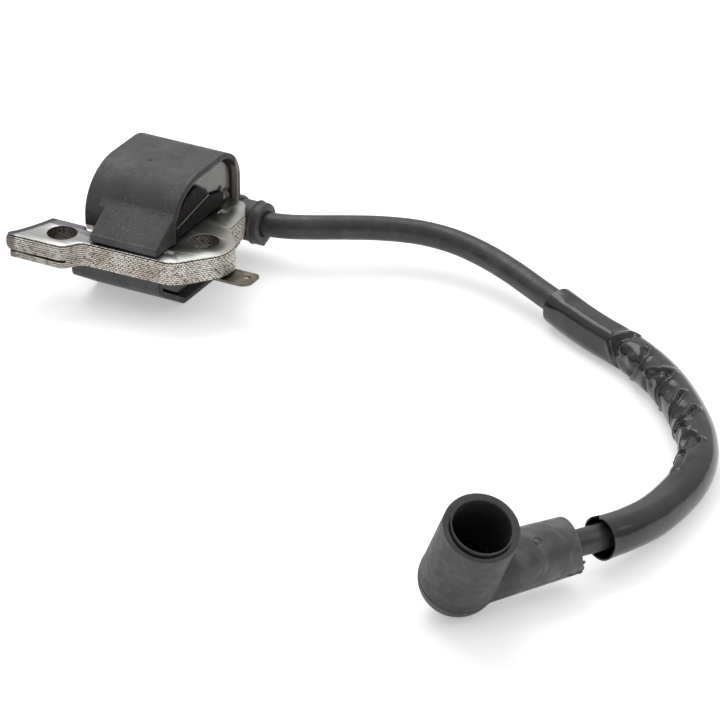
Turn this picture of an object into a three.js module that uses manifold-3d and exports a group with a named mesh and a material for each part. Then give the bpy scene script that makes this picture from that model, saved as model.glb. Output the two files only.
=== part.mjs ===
// Ignition coil of a small two-stroke engine, in millimetres, +Z up.
// +X runs along the winding axis, away from the flywheel. The origin is the middle of the coil body,
// without its lead, on the flat underside of the housing.

import * as THREE from "three";
import { mergeVertices } from "three/addons/utils/BufferGeometryUtils.js";
import Module from "manifold-3d";

const wasm = await Module();
wasm.setup();

// ---- driving dimensions ----

const GAP = 0.3; // between two pieces that are potted, pressed or pushed together
const FIT = 0.1; // between a winding and its bobbin

const SHEETS = 12; // laminations in the core
const SHEET_PITCH = 0.5;
const SHEET_THICKNESS = 0.48;
const SHORT_SHEET = 3; // how many sheets lie under the one whose tip is missing, which leaves a slot
const SHORT_SHEET_END = -13;
const CORE_BOTTOM = 11;
const CORE_TOP = CORE_BOTTOM + SHEETS * SHEET_PITCH;
const FLYWHEEL = { x: -66.6, y: -1.5, r: 45.3 }; // the circle that both pole faces follow
const SCREW_HOLES = [
  [-17.1, -20],
  [14.2, -8],
];
const SCREW_HOLE_R = 3.6;
const ARM_FRONT = -26.1; // the bare leg is wider at its screw hole
const LEG_FRONT = -22;
const LEG_BACK = -14.4;
const YOKE = { inner: 7.6, outer: 15.7, back: 14.2 };
const LOBE_RIGHT = 21.9;
const LEG_STEP = { x: -13.4, back: -16.2 }; // the bare leg is narrower inside the housing
const WOUND_LEG = { y: -0.9, halfWidth: 4.5, setBack: 1.5 }; // its pole face lies behind the circle

const HOUSING = { left: -14.7, rim: 9.5, top: 30.7, back: 17.5, wall: 1.4 };
const DOME = { y: -0.9, z: 19.5, ry: 12.9, rz: 11.2 }; // quarter ellipse at the housing's front
const SUMP = { front: -20.3, shelf: CORE_BOTTOM - GAP, low: 7, flatFrom: -9.3 }; // below the bare leg
const APRON = { left: -8.8, right: 9.1, foot: CORE_TOP + GAP, lip: 18.5, top: 24.3 };
const LEG_SLOT = { deep: -12.6, wide: -9.5 }; // opening between the legs at the housing's left end
const APRON_STRIP = { left: -10.6, low: 22.8, proud: 1.2 };

const POTTING_FACE = 7.8;
const COIL = { z: (CORE_TOP + CORE_BOTTOM) / 2, left: -12, right: 7, flange: 1.1 };
const FLANGE_HALF = [10.3, 9.3]; // half width and half height
const SECTIONS = 5; // chambers of the secondary winding

const LEAD_R = 2.95;
const LEAD_BORE_R = 1.1;
const CONDUCTOR_R = 0.8;
const OUTLET = { y: 19.85, z: 9.4, r: 6.3, left: -7, right: 8.1 }; // high-tension outlet, along +X
const GLAND = { left: 8.4, bodyR: 4.5, collarR: 5.1, collarLeft: 12.1, right: 14.9 };
const LEAD_START = -2;

const TERMINAL = { neck: 18.8, right: 28, front: -11.9, back: -5.5, top: 10.5, thick: 0.8 };
const TERMINAL_SHANK = { left: 7.4, bend: 14.2, front: -17.8, back: -13.6, foot: 7.7 }; // clear of the screw
const TERMINAL_HOLE = [25.8, -7.8, 0.85];

const SLEEVE = { r: 4.25, wall: 0.45, first: 12, last: 25 }; // first and last point of the route

const BOOT = {
  elbow: [129.4, -101.6, 8.4],
  neck: [0.58, 0.814, 0.03], // from the elbow to the lead
  cup: [0.415, -0.34, 0.844], // from the elbow to the mouth
  domeR: 8.4,
  cupR: 7.7,
  cupLength: 21.2,
  boreR: 6,
  boreBottom: -3,
  neckRootR: 7.2,
  neckEndR: 6.3,
  neckLength: 26.2,
};
const SPRING = { r: 3.6, wireR: 0.45, from: 3.8, turns: 4, pitch: 1.8 };

// Middle line of the lead: out of the gland, down to the ground in one wide bow, and into the boot's neck.
const LEAD_ROUTE = [
  [LEAD_START, OUTLET.y, OUTLET.z],
  [8, OUTLET.y, OUTLET.z],
  [14, OUTLET.y, OUTLET.z],
  [20, 20.7, 9.6],
  [26, 23, 9.8],
  [33, 27, 9.7],
  [40.6, 31.2, 9.4],
  [48.5, 34.1, 9],
  [57, 34.8, 8.5],
  [65.8, 33.3, 7.8],
  [75, 30.1, 7],
  [84, 26.2, 6],
  [91, 22.8, 5.4],
  [98, 18.9, 4.9],
  [105, 15.4, 4.6],
  [113, 11.8, 4.4],
  [121.5, 6.7, 4.3],
  [130, -0.4, 4.3],
  [138, -9, 4.3],
  [144.7, -18, 4.3],
  [149.2, -27, 4.3],
  [151.6, -36.5, 4.4],
  [152.2, -47, 4.9],
  [151.9, -57, 6],
  [150.3, -66.5, 7.5],
  [147.8, -74.3, 8.7],
  [144.6, -80.3, 9.2],
  [141, -85.3, 9],
  [136.4, -91.8, 8.8],
  [132.3, -97.5, 8.6],
];

// ---- tools ----

/** A closed three.js geometry as a manifold-3d solid. */
function solid(geometry) {
  const bare = geometry.clone();
  bare.deleteAttribute("normal");
  bare.deleteAttribute("uv");
  const merged = mergeVertices(bare, 1e-4);
  const mesh = new wasm.Mesh({
    numProp: 3,
    vertProperties: new Float32Array(merged.attributes.position.array),
    triVerts: new Uint32Array(merged.index.array),
  });
  return new wasm.Manifold(mesh);
}

/** A manifold-3d solid as a three.js geometry with flat faces. */
function geometryOf(made) {
  const mesh = made.getMesh();
  const geometry = new THREE.BufferGeometry();
  geometry.setAttribute("position", new THREE.BufferAttribute(mesh.vertProperties, 3));
  geometry.setIndex(new THREE.BufferAttribute(mesh.triVerts, 1));
  const flat = geometry.toNonIndexed();
  flat.computeVertexNormals();
  return flat;
}

/** The points of a closed outline through corners [x, y, radius], each rounded by an arc. */
function rounded(corners) {
  const points = [];
  corners.forEach(([x, y, radius = 0], i) => {
    const corner = new THREE.Vector2(x, y);
    if (!radius) {
      points.push(corner);
      return;
    }
    const [px, py] = corners.at(i - 1);
    const [nx, ny] = corners[(i + 1) % corners.length];
    const back = new THREE.Vector2(px - x, py - y).normalize();
    const ahead = new THREE.Vector2(nx - x, ny - y).normalize();
    const half = Math.acos(THREE.MathUtils.clamp(back.dot(ahead), -1, 1)) / 2;
    const middle = back.clone().add(ahead).normalize();
    const centre = corner.clone().addScaledVector(middle, radius / Math.sin(half));
    const start = corner.clone().addScaledVector(back, radius / Math.tan(half)).sub(centre);
    const end = corner.clone().addScaledVector(ahead, radius / Math.tan(half)).sub(centre);
    const turn = Math.atan2(start.cross(end), start.dot(end));
    const steps = Math.max(1, Math.round(Math.abs(turn) / THREE.MathUtils.degToRad(24)));
    for (let k = 0; k <= steps; k++) {
      points.push(start.clone().rotateAround(new THREE.Vector2(), (turn * k) / steps).add(centre));
    }
  });
  return points;
}

/** The outline moved inwards by a distance, edge by edge; a negative distance moves it outwards. */
function inset(points, distance) {
  const side = Math.sign(THREE.ShapeUtils.area(points));
  return points.map((point, i) => {
    const a = point.clone().sub(points.at(i - 1)).normalize();
    const b = points[(i + 1) % points.length].clone().sub(point).normalize();
    const normalA = new THREE.Vector2(-a.y, a.x).multiplyScalar(side);
    const normalB = new THREE.Vector2(-b.y, b.x).multiplyScalar(side);
    const miter = normalA.add(normalB);
    return point.clone().addScaledVector(miter, (2 * distance) / miter.lengthSq());
  });
}

/** The corners of a regular polygon round [x, y]. */
function ring(x, y, r, sides) {
  const corners = Array.from({ length: sides }, (_, i) => (2 * Math.PI * (i + 0.5)) / sides);
  return corners.map((angle) => new THREE.Vector2(x + r * Math.cos(angle), y + r * Math.sin(angle)));
}

/** The outline of a rectangle with round corners, from its middle and half sizes. */
function box2d(x, y, halfX, halfY, radius = 0) {
  return rounded([
    [x - halfX, y - halfY, radius],
    [x + halfX, y - halfY, radius],
    [x + halfX, y + halfY, radius],
    [x - halfX, y + halfY, radius],
  ]);
}

/** A plate of an outline in X and Y, between two heights. */
function plate(points, holes, low, high) {
  const shape = new THREE.Shape(points);
  shape.holes = holes.map((hole) => new THREE.Path(hole));
  const geometry = new THREE.ExtrudeGeometry(shape, { depth: high - low, bevelEnabled: false });
  return geometry.translate(0, 0, low);
}

/** A bar of an outline in Y and Z, between two places along X. */
function bar(points, holes, left, right) {
  const along = new THREE.Matrix4().makeBasis(
    new THREE.Vector3(0, 1, 0),
    new THREE.Vector3(0, 0, 1),
    new THREE.Vector3(1, 0, 0),
  );
  return plate(points, holes, left, right).applyMatrix4(along);
}

/** A block between two opposite corners. */
function block(low, high) {
  const size = high.map((value, axis) => value - low[axis]);
  const middle = high.map((value, axis) => (value + low[axis]) / 2);
  return new THREE.BoxGeometry(...size).translate(...middle);
}

/** A tube of a ring-shaped section along a curve. */
function tube(curve, steps, outer, inner, sides) {
  const shape = new THREE.Shape(ring(0, 0, outer, sides));
  if (inner) shape.holes = [new THREE.Path(ring(0, 0, inner, sides))];
  return new THREE.ExtrudeGeometry(shape, { steps, extrudePath: curve, bevelEnabled: false });
}

const part = new THREE.Group();
part.name = "ignition_coil";

const material = (color, roughness, metalness = 0) =>
  new THREE.MeshStandardMaterial({ color, roughness, metalness });

/** Adds a named piece to the part, from a geometry or a manifold-3d solid. */
function add(name, shape, look) {
  const mesh = new THREE.Mesh(shape.isBufferGeometry ? shape : geometryOf(shape), look());
  mesh.name = name;
  part.add(mesh);
}

const LOOKS = {
  steel: () => material("#9a978f", 0.38, 0.9),
  housing: () => material("#3f3d40", 0.62),
  potting: () => material("#77746f", 0.25),
  bobbin: () => material("#26201c", 0.5),
  copper: () => material("#a5592c", 0.35, 0.9),
  board: () => material("#2e5a3a", 0.55),
  chip: () => material("#1c1c1e", 0.5),
  ceramic: () => material("#b59a6a", 0.5),
  nickel: () => material("#a39c8c", 0.35, 0.9),
  brass: () => material("#b08d4c", 0.35, 0.9),
  lead: () => material("#38363a", 0.5),
  sleeve: () => material("#111113", 0.15),
  boot: () => material("#37363a", 0.65),
  spring: () => material("#b9b7b2", 0.3, 0.9),
};

// ---- laminated core ----

/** Where the flywheel's circle crosses a line along X. */
const poleX = (y) => FLYWHEEL.x + Math.sqrt(FLYWHEEL.r ** 2 - (y - FLYWHEEL.y) ** 2);

/** Corners along a pole face, without its two ends. */
const poleFace = (from, to, setBack = 0) =>
  [0.25, 0.5, 0.75].map((t) => from + (to - from) * t).map((y) => [poleX(y) + setBack, y]);

/** The outline of a lamination: a U with one bare and one wound leg. */
function coreOutline() {
  const woundFront = WOUND_LEG.y - WOUND_LEG.halfWidth;
  const woundBack = WOUND_LEG.y + WOUND_LEG.halfWidth;
  const { setBack } = WOUND_LEG;
  return rounded([
    [poleX(ARM_FRONT), ARM_FRONT, 0.7],
    [-13.4, ARM_FRONT, 3],
    [-10.4, LEG_FRONT, 3],
    [13.2, LEG_FRONT + 0.5, 5],
    [LOBE_RIGHT, -11.7, 7],
    [LOBE_RIGHT, -6.3, 4.5],
    [YOKE.outer + 0.6, 0.3, 1.5],
    [YOKE.outer, YOKE.back, 6.4],
    [YOKE.inner, YOKE.back, 0.6],
    [YOKE.inner, woundBack, 0.6],
    [poleX(woundBack) + setBack, woundBack, 0.5],
    ...poleFace(woundBack, woundFront, setBack),
    [poleX(woundFront) + setBack, woundFront, 0.5],
    [YOKE.inner, woundFront, 0.6],
    [YOKE.inner, LEG_STEP.back, 0.6],
    [LEG_STEP.x + 0.8, LEG_STEP.back, 1],
    [LEG_STEP.x - 0.8, LEG_BACK, 1],
    [poleX(LEG_BACK), LEG_BACK, 0.5],
    ...poleFace(LEG_BACK, ARM_FRONT),
  ]);
}

/** The space that the core takes out of its neighbours. */
const coreSpace = () => solid(plate(inset(coreOutline(), -GAP), [], CORE_BOTTOM - GAP, CORE_TOP + GAP));

function addCore() {
  for (let sheet = 0; sheet < SHEETS; sheet++) {
    const low = CORE_BOTTOM + sheet * SHEET_PITCH;
    const holes = SCREW_HOLES.map(([x, y]) => ring(x, y, SCREW_HOLE_R, 16));
    let made = solid(plate(coreOutline(), holes, low, low + SHEET_THICKNESS));
    if (sheet === SHORT_SHEET) {
      const tip = block([-30, ARM_FRONT - 1, low - 1], [SHORT_SHEET_END, LEG_BACK + 1, low + 1]);
      made = made.subtract(solid(tip));
    }
    add(`core_lamination_${String(sheet + 1).padStart(2, "0")}`, made, LOOKS.steel);
  }
}

// ---- housing ----

/** The housing's section in Y and Z, without its apron. */
function housingSection() {
  const dome = [0, 15, 30, 45, 60, 75, 90].map((degrees) => {
    const angle = THREE.MathUtils.degToRad(degrees);
    return [DOME.y - DOME.ry * Math.sin(angle), DOME.z + DOME.rz * Math.cos(angle)];
  });
  return rounded([
    [SUMP.front, SUMP.shelf],
    [SUMP.front, SUMP.low, 2],
    [SUMP.flatFrom, 0, 2],
    [HOUSING.back, 0, 3],
    [HOUSING.back, HOUSING.top, 8.5],
    ...dome,
    [DOME.y - DOME.ry, SUMP.shelf],
  ]);
}

/** The sloping apron that covers the bare leg, with a slightly wider strip along its top. */
function apron() {
  const face = DOME.y - DOME.ry + APRON_STRIP.proud;
  const inside = face + 2;
  const slope = [
    [SUMP.front, APRON.foot],
    [SUMP.front, APRON.lip],
    [face, APRON.top],
    [inside, APRON.top],
    [inside, APRON.foot],
  ];
  const strip = [
    [face - 1.8, APRON_STRIP.low],
    [face, APRON.top + 0.1],
    [inside, APRON.top + 0.1],
    [inside, APRON_STRIP.low],
  ];
  return solid(bar(rounded(slope), [], APRON.left, APRON.right)).add(
    solid(bar(rounded(strip), [], APRON_STRIP.left, HOUSING.rim)),
  );
}

/** The inside of the cup, to a given distance from its walls. */
const cavity = (clearance, left, right) =>
  solid(bar(inset(housingSection(), HOUSING.wall + clearance), [], left, right));

/** The space of the high-tension contact, from the coil to the lead. */
const contactSpace = (clearance) => {
  const c = clearance;
  return solid(block([-4.6 - c, 10.4 - c, 9 - c], [-3.6 + c, OUTLET.y + 0.6 + c, 10 + c]));
};

/** The opening between the legs: through the left wall, and further along the front wall. */
function legSlot() {
  const front = DOME.y - DOME.ry - 0.4;
  const back = WOUND_LEG.y - WOUND_LEG.halfWidth - GAP;
  const left = HOUSING.left - 1;
  return solid(block([left, front, CORE_BOTTOM], [LEG_SLOT.deep, back, CORE_TOP])).add(
    solid(block([left, front, CORE_BOTTOM], [LEG_SLOT.wide, front + HOUSING.wall + 0.4, CORE_TOP])),
  );
}

function addHousing() {
  const outlet = bar(ring(OUTLET.y, OUTLET.z, OUTLET.r, 24), [], OUTLET.left, OUTLET.right);
  const leadBore = bar(ring(OUTLET.y, OUTLET.z, LEAD_R + GAP, 16), [], -3.9, OUTLET.right + 1);
  const glandSeat = bar(ring(OUTLET.y, OUTLET.z, GLAND.bodyR + GAP, 24), [], OUTLET.right, HOUSING.rim + 1);
  const made = solid(bar(housingSection(), [], HOUSING.left, HOUSING.rim))
    .add(apron())
    .add(solid(outlet))
    .subtract(cavity(0, HOUSING.left + HOUSING.wall, HOUSING.rim + 1))
    .subtract(coreSpace())
    .subtract(solid(leadBore))
    .subtract(solid(glandSeat))
    .subtract(terminalNotch())
    .subtract(legSlot())
    .subtract(contactSpace(GAP));
  add("housing_shell", made, LOOKS.housing);
}

/** Potting resin: it fills the cup round the coil, the board and the terminal's foot. */
function addPotting() {
  const [halfWidth, halfHeight] = FLANGE_HALF.map((half) => half + GAP);
  const coil = block(
    [COIL.left - GAP, WOUND_LEG.y - halfWidth, COIL.z - halfHeight],
    [COIL.right + GAP, WOUND_LEG.y + halfWidth, COIL.z + halfHeight],
  );
  const electronics = block([-11.5, -6.6, COIL.z + halfHeight - 1], [5.4, 9.6, 28.6]);
  const made = cavity(FIT, HOUSING.left + HOUSING.wall + FIT, POTTING_FACE)
    .subtract(coreSpace())
    .subtract(solid(coil))
    .subtract(solid(electronics))
    .subtract(solid(headBlock(GAP)))
    .subtract(terminalFoot(GAP))
    .subtract(legSlot())
    .subtract(contactSpace(GAP));
  add("potting_resin", made, LOOKS.potting);
}

// ---- windings ----

/** The black block on the bobbin's head, which shows in the resin above the core. */
function headBlock(clearance) {
  const foot = CORE_TOP + GAP + 0.1;
  const corners = rounded([
    [-11.6, foot],
    [11, foot],
    [11, 20.4],
    [4.6, 22.5],
    [-1.2, 27],
    [-6, 25.6],
    [-10, 22.6],
    [-11.6, 20.2],
  ]);
  return bar(inset(corners, -clearance), [], COIL.right - 0.6 - clearance, POTTING_FACE + 0.6);
}

/** A rectangular tube round the wound leg. */
function sleeveRound(halfIn, halfOut, radius, left, right) {
  const at = [WOUND_LEG.y, COIL.z];
  const hole = halfIn.map((half) => Math.max(half, 0));
  return bar(box2d(...at, ...halfOut, radius), [box2d(...at, ...hole, radius / 2)], left, right);
}

function addWindings() {
  const legHalf = [WOUND_LEG.halfWidth, (CORE_TOP - CORE_BOTTOM) / 2];
  const grown = (by) => legHalf.map((half) => half + by);
  const windLeft = COIL.left + COIL.flange + FIT;
  const windRight = COIL.right - COIL.flange - FIT;

  const primaryBobbin = solid(sleeveRound(grown(GAP), grown(1.1), 1, COIL.left, COIL.right))
    .add(solid(sleeveRound(grown(GAP), FLANGE_HALF, 1, COIL.left, COIL.left + COIL.flange)))
    .add(solid(sleeveRound(grown(GAP), FLANGE_HALF, 1, COIL.right - COIL.flange, COIL.right)))
    .add(solid(headBlock(0)))
    .subtract(coreSpace());
  add("primary_bobbin", primaryBobbin, LOOKS.bobbin);
  add("primary_winding", sleeveRound(grown(1.2), grown(2.5), 1.2, windLeft, windRight), LOOKS.copper);

  let secondaryBobbin = solid(sleeveRound(grown(2.8), grown(3.6), 1.4, windLeft, windRight));
  const rib = 0.8;
  const pitch = (windRight - windLeft - rib) / SECTIONS;
  for (let i = 0; i <= SECTIONS; i++) {
    const left = windLeft + i * pitch;
    secondaryBobbin = secondaryBobbin.add(solid(sleeveRound(grown(2.8), grown(5.8), 1.4, left, left + rib)));
  }
  add("secondary_bobbin", secondaryBobbin, LOOKS.bobbin);
  for (let i = 0; i < SECTIONS; i++) {
    const left = windLeft + i * pitch + rib + FIT;
    const right = windLeft + (i + 1) * pitch - FIT;
    add(`secondary_winding_${i + 1}`, sleeveRound(grown(3.7), grown(5.2), 1.4, left, right), LOOKS.copper);
  }
}

// ---- electronics, which the resin holds above the coil ----

function addElectronics() {
  const boardLow = COIL.z + FLANGE_HALF[1] + 0.5;
  const boardHigh = boardLow + 1.2;
  const onBoard = (x, y, halfX, halfY, height) =>
    block([x - halfX, y - halfY, boardHigh + 0.05], [x + halfX, y + halfY, boardHigh + height]);
  add("circuit_board", block([-11, -6, boardLow], [5, 9, boardHigh]), LOOKS.board);
  add("switching_transistor", onBoard(-6.5, 4, 3.3, 4, 2.4), LOOKS.chip);
  add("control_transistor", onBoard(0.2, 6, 1.5, 1.3, 1.2), LOOKS.chip);
  add("suppressor_diode", onBoard(-0.4, 2.2, 2.2, 1.3, 2.2), LOOKS.chip);
  add("timing_capacitor", onBoard(3.2, -3.6, 1.2, 1.7, 1.5), LOOKS.ceramic);
  [-8.5, -4, 0].forEach((x, i) => {
    add(`bias_resistor_${i + 1}`, onBoard(x, -3.6, 1.6, 0.8, 0.6), LOOKS.ceramic);
  });
}

// ---- terminal and high-tension outlet ----

/** The terminal's foot, bent down into the resin. */
function terminalFoot(clearance) {
  const { left, front, back, foot } = TERMINAL_SHANK;
  const c = clearance;
  const right = left + TERMINAL.thick;
  return solid(block([left - c, front - c, foot - c], [right + c, back + c, TERMINAL.top + c]));
}

/** The notch in the sump's rim that the terminal's shank comes out through. */
function terminalNotch() {
  const { left, front, back } = TERMINAL_SHANK;
  const low = SUMP.shelf - HOUSING.wall - FIT;
  return solid(block([left - GAP, front - GAP, low], [HOUSING.rim + 1, back + GAP, CORE_BOTTOM]));
}

/** The stop terminal: a blade on a shank that passes in front of the screw hole. */
function addTerminal() {
  const { neck, right, front, back, top, thick } = TERMINAL;
  const shank = TERMINAL_SHANK;
  const outline = rounded([
    [shank.left, shank.front],
    [shank.bend, shank.front, 1],
    [neck, front, 1],
    [right, front, 2.6],
    [right, back, 1.2],
    [neck, back, 0.5],
    [neck, back - 3, 1],
    [shank.bend + 0.6, shank.back, 1],
    [shank.left, shank.back],
  ]);
  const tab = plate(outline, [ring(...TERMINAL_HOLE, 12)], top - thick, top);
  add("stop_terminal", solid(tab).add(terminalFoot(0)), LOOKS.nickel);
}

function addOutlet() {
  const pinR = LEAD_BORE_R - GAP;
  const pin = bar(ring(OUTLET.y, OUTLET.z, pinR, 8), [], -4.2, 3.5);
  add("high_tension_contact", contactSpace(0).add(solid(pin)), LOOKS.brass);

  const bore = ring(OUTLET.y, OUTLET.z, LEAD_R + GAP, 16);
  const body = bar(ring(OUTLET.y, OUTLET.z, GLAND.bodyR, 24), [bore], GLAND.left, GLAND.right);
  const collar = bar(ring(OUTLET.y, OUTLET.z, GLAND.collarR, 24), [bore], GLAND.collarLeft, GLAND.right);
  const lug = block(
    [GLAND.collarLeft, OUTLET.y - 1.6, OUTLET.z - GLAND.collarR - 0.6],
    [GLAND.right, OUTLET.y + 1.6, OUTLET.z - GLAND.collarR + 1],
  );
  add("lead_gland", solid(body).add(solid(collar)).add(solid(lug)).subtract(coreSpace()), LOOKS.housing);
}

// ---- lead, sleeve and boot ----

const curveOf = (points) => new THREE.CatmullRomCurve3(points.map((point) => new THREE.Vector3(...point)));

function addLead() {
  const steps = 26;
  add("lead_jacket", tube(curveOf(LEAD_ROUTE), steps, LEAD_R, LEAD_BORE_R, 10), LOOKS.lead);
  const conductor = LEAD_ROUTE.slice(1);
  add("lead_conductor", tube(curveOf(conductor), steps, CONDUCTOR_R, 0, 8), LOOKS.copper);
  const sleeve = LEAD_ROUTE.slice(SLEEVE.first, SLEEVE.last + 1);
  add("lead_sleeve", tube(curveOf(sleeve), 14, SLEEVE.r, SLEEVE.r - SLEEVE.wall, 12), LOOKS.sleeve);
}

/** The boot's own frame: X along the neck and Z along the cup. */
function bootFrame() {
  const neck = new THREE.Vector3(...BOOT.neck).normalize();
  const cup = new THREE.Vector3(...BOOT.cup);
  const across = cup.cross(neck).normalize();
  const frame = new THREE.Matrix4().makeBasis(neck, across, neck.clone().cross(across));
  return frame.setPosition(...BOOT.elbow);
}

function addBoot() {
  const frame = bootFrame();
  const cone = (from, to, low, high) => new THREE.CylinderGeometry(to, from, high - low, 28);
  const upright = (from, to, low, high) =>
    cone(from, to, low, high).rotateX(Math.PI / 2).translate(0, 0, (low + high) / 2);
  const lying = (from, to, low, high) =>
    cone(from, to, low, high).rotateZ(-Math.PI / 2).translate((low + high) / 2, 0, 0);
  const boot = solid(new THREE.SphereGeometry(BOOT.domeR, 24, 12))
    .add(solid(upright(BOOT.domeR - 0.1, BOOT.cupR, 0, BOOT.cupLength)))
    .add(solid(lying(BOOT.neckRootR, BOOT.neckEndR, 0, BOOT.neckLength)))
    .subtract(solid(upright(BOOT.boreR, BOOT.boreR, BOOT.boreBottom, BOOT.cupLength + 1)))
    .subtract(solid(lying(LEAD_R + GAP, LEAD_R + GAP, 0, BOOT.neckLength + 1)));
  add("plug_boot", geometryOf(boot).applyMatrix4(frame), LOOKS.boot);

  const coil = Array.from({ length: SPRING.turns * 8 + 1 }, (_, i) => {
    const angle = (i * Math.PI) / 4;
    const height = SPRING.from + (i * SPRING.pitch) / 8;
    return [SPRING.r * Math.cos(angle), SPRING.r * Math.sin(angle), height];
  });
  const wire = tube(curveOf(coil), SPRING.turns * 12, SPRING.wireR, 0, 6);
  add("boot_spring", wire.applyMatrix4(frame), LOOKS.spring);
}

addCore();
addHousing();
addPotting();
addWindings();
addElectronics();
addTerminal();
addOutlet();
addLead();
addBoot();

export default part;
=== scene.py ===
"""Ignition coil of a small two-stroke engine: the fine meshes, materials, light and camera.

Shapes are worked out in millimetres, in the frame of the CAD model, and become metres in mesh_of().
"""

import math

import bmesh
import bpy
import numpy as np
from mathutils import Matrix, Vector
from mathutils.geometry import tessellate_polygon


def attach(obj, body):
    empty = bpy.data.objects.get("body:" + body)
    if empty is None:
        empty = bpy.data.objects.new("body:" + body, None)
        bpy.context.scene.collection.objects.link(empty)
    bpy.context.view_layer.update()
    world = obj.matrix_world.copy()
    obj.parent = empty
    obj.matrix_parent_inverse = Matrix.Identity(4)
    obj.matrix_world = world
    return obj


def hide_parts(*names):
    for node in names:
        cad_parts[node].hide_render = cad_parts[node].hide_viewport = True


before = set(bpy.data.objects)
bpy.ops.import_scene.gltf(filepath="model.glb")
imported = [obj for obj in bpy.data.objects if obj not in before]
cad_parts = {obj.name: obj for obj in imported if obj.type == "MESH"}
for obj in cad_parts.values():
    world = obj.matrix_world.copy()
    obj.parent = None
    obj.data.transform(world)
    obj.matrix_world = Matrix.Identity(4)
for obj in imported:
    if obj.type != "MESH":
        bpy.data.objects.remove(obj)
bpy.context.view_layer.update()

MM = 0.001

# ---- dimensions, in millimetres unless they say otherwise ----

CAMERA = {"target": (0.066, -0.0273, 0.008), "azimuth": 28.5, "elevation": 28.2, "distance": 1.0195}
CAMERA_LENS = 226.2
LAMP_TARGET = Vector((0.05, -0.03, 0))  # metres

SHEETS = 12
SHEET_PITCH = 0.5
SHEET_THICKNESS = 0.48
SHEET_SHIFT = 0.045
SHORT_SHEET = 3  # counted from 0, and ending early
SHORT_SHEET_END = -13
TOP_SHEET_GAP = 0.24
TIP_BURR = 0.9
EDGE_SPECKS = 1.15  # their pitch
CORE_BOTTOM = 11
GAP = 0.3
FLYWHEEL = {"x": -66.6, "y": -1.5, "r": 45.3}
SCREW_HOLES = [(-17.1, -20), (14.2, -8)]
SCREW_HOLE_R = 3.6
DIMPLES = [(10.2, -17.1, 1.0, 1.1), (10.5, 7.4, 1.0, 1.3)]  # middle and half sizes
DIMPLE_DEPTH = 0.24
DIMPLE_TILT = 0.2
RECESS_DRAFT = 0.12

HOUSING_PIT = (-4.2, -0.8, 30.75)
HOUSING = {"left": -14.7, "rim": 9.5, "top": 30.7, "back": 17.5, "wall": 1.4}
DOME = {"y": -0.9, "z": 19.5, "ry": 12.9, "rz": 11.2}
# Sections in Y and Z.
APRON = np.array([(-21.2, 17.2), (-21.2, 18.9), (-12.6, 24.3), (-10.6, 24.3), (-10.6, 17.2)])
APRON_STRIP = np.array([(-14.4, 22.8), (-12.6, 24.4), (-10.6, 24.4), (-10.6, 22.8)])
HEAD_BLOCK = np.array(
    [(-11.4, 20.1), (-9.3, 20.1), (4.4, 22.6), (3.8, 23.5), (-1.2, 27), (-6, 25.6), (-10, 22.6)]
)
RIB = np.array(
    [(-11.4, 17.4), (10.9, 17.4), (10.9, 20.2), (8.8, 21.2), (4.6, 22.1), (-9.3, 19.4), (-11.4, 19.4)]
)
RESIN_LEDGE = np.array([(-10.6, 19.55), (4.6, 22.2), (4.5, 22.6), (-10.6, 19.95)])
RESIN_DRIPS = [(10.4, 20.9, 0.8), (12.6, 19.2, 1.0), (14.4, 18.6, 0.9)]  # dents: Y, Z and radius
RESIN_FACE = 7.8
WOUND_LEG_Y = -0.9
COIL_Z = 14
OUTLET = {"y": 19.85, "z": 9.4, "r": 5.5, "left": -7, "right": 8.1}
GLAND = {"left": 8.4, "body_r": 4.9, "collar_r": 5.1, "collar_left": 12.1, "right": 14.9}
# Corners in X and Y, with radii.
TERMINAL = [
    (7.4, -17.8),
    (14.2, -17.8, 1),
    (18.8, -11.9, 1),
    (28, -11.9, 2.6),
    (28, -5.5, 1.2),
    (18.8, -5.5, 0.5),
    (18.8, -8.5, 1),
    (14.8, -13.6, 1),
    (7.4, -13.6),
]
GLAND_LUG = np.array([(18.2, 6.2), (18.5, 4.4), (19.3, 3.7), (21.2, 4.5), (21.6, 6.2)])  # Y and Z

LEAD_R = 2.95
LEAD_BORE_R = 1.1
SLEEVE_FIRST = 12
SLEEVE_LAST = 25
SLEEVE_R = 4.6
SLEEVE_WALL = 0.35
SLEEVE_SHIFT = 0.3
SLEEVE_MESH = (440, 104)  # rings, and points round each

BOOT_ELBOW = np.array([129.4, -101.6, 8.4])
BOOT_NECK = np.array([0.58, 0.814, 0.03])
BOOT_CUP = np.array([0.415, -0.34, 0.844])
BOOT = {"dome_r": 8.4, "cup_r": 8.15, "cup": 21.2, "bore_r": 6.3, "root_r": 7.2, "end_r": 6.3, "neck": 26.2}
LIP_SIDE = (-0.673, -0.74)  # the side of the bore where its lip stands free
SPRING = {"r": 3.6, "wire_r": 0.45, "from": 3.8, "turns": 4, "pitch": 1.8}

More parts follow.
